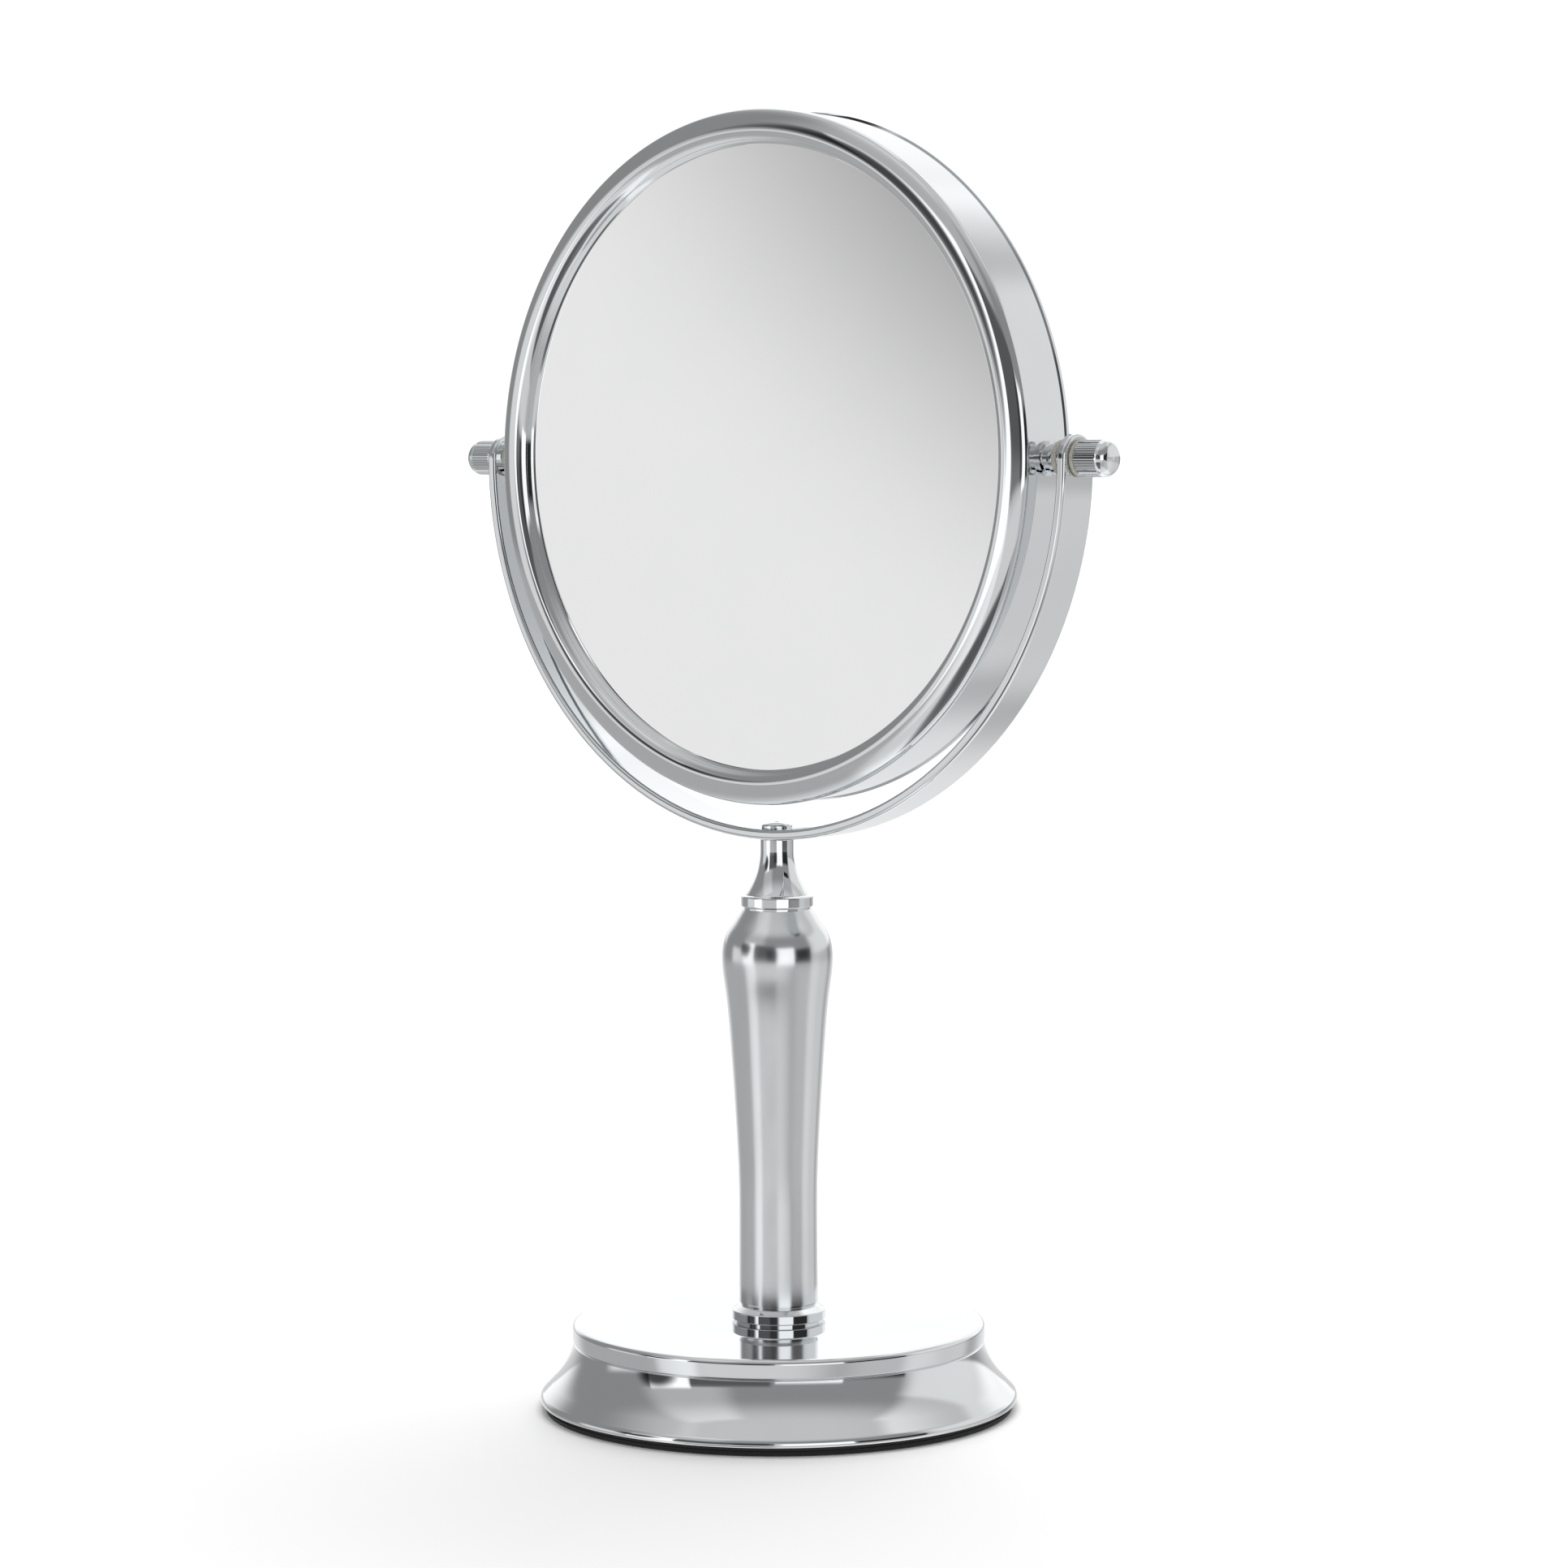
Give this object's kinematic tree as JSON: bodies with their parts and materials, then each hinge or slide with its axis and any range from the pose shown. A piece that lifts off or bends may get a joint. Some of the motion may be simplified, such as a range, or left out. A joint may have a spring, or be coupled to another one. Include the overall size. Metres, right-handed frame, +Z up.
{
  "type": "countertop mirror",
  "caption": "Round two-faced mirror in a chrome bezel, turning over in a U-shaped yoke on a turned chrome pedestal with a weighted round base.",
  "frame": {"origin": "middle of the underside of the foot, on the surface the mirror stands on", "axes": "+Z up; the plane mirror faces -Y; the pivots of the head lie along X"},
  "size_m": [0.2322, 0.1328, 0.3586],
  "materials": {
    "chrome": "mirror-polished chrome plate on brass and zinc",
    "mirror": "back-silvered polished glass",
    "nylon": "natural cream-grey nylon",
    "foot_rubber": "matt black rubber",
    "black_steel": "black coated sheet steel",
    "cast_iron": "raw cast iron",
    "steel": "zinc-plated steel",
    "foam": "closed-cell foam"
  },
  "bodies": {
    "stand": {"foot_pad": "foot_rubber", "base_plate": "black_steel", "base_weight": "cast_iron", "base_shell": "chrome", "tie_rod_washer": "steel", "tie_rod_nut": "steel", "tie_rod": "steel", "lower_collar": "chrome", "post_body": "chrome", "neck": "chrome", "yoke": "chrome", "yoke_screw": "chrome"},
    "head": {"head_band": "chrome", "front_bezel": "chrome", "rear_bezel": "chrome", "front_mirror_glass": "mirror", "rear_mirror_glass": "mirror", "glass_spacer": "foam", "left_pivot_boss": "chrome", "left_inner_washer": "nylon", "right_pivot_boss": "chrome", "right_inner_washer": "nylon"},
    "left_clamp": {"left_outer_washer": "nylon"},
    "left_clamp_knob": {"left_knob": "chrome", "left_pivot_stud": "steel"},
    "right_clamp": {"right_outer_washer": "nylon"},
    "right_clamp_knob": {"right_knob": "chrome", "right_pivot_stud": "steel"}
  },
  "joints": [
    {"name": "head_turn", "type": "hinge", "parent": "stand", "child": "head", "pos_m": [0, 0, 0.2636], "axis": [1, 0, 0], "continuous": true},
    {"name": "left_clamp_travel", "type": "slide", "parent": "head", "child": "left_clamp", "axis": [-1, 0, 0], "range_m": [0, 0.0014]},
    {"name": "left_knob_turn", "type": "hinge", "parent": "left_clamp", "child": "left_clamp_knob", "pos_m": [0, 0, 0.2636], "axis": [-1, 0, 0], "range_deg": [0, 720]},
    {"name": "right_clamp_travel", "type": "slide", "parent": "head", "child": "right_clamp", "axis": [1, 0, 0], "range_m": [0, 0.0014]},
    {"name": "right_knob_turn", "type": "hinge", "parent": "right_clamp", "child": "right_clamp_knob", "pos_m": [0, 0, 0.2636], "axis": [1, 0, 0], "range_deg": [0, 720]}
  ],
  "couplings": [
    {"joint": "left_knob_turn", "follows": "left_clamp_travel", "rad_per_m": 8976},
    {"joint": "right_knob_turn", "follows": "right_clamp_travel", "rad_per_m": 8976}
  ]
}
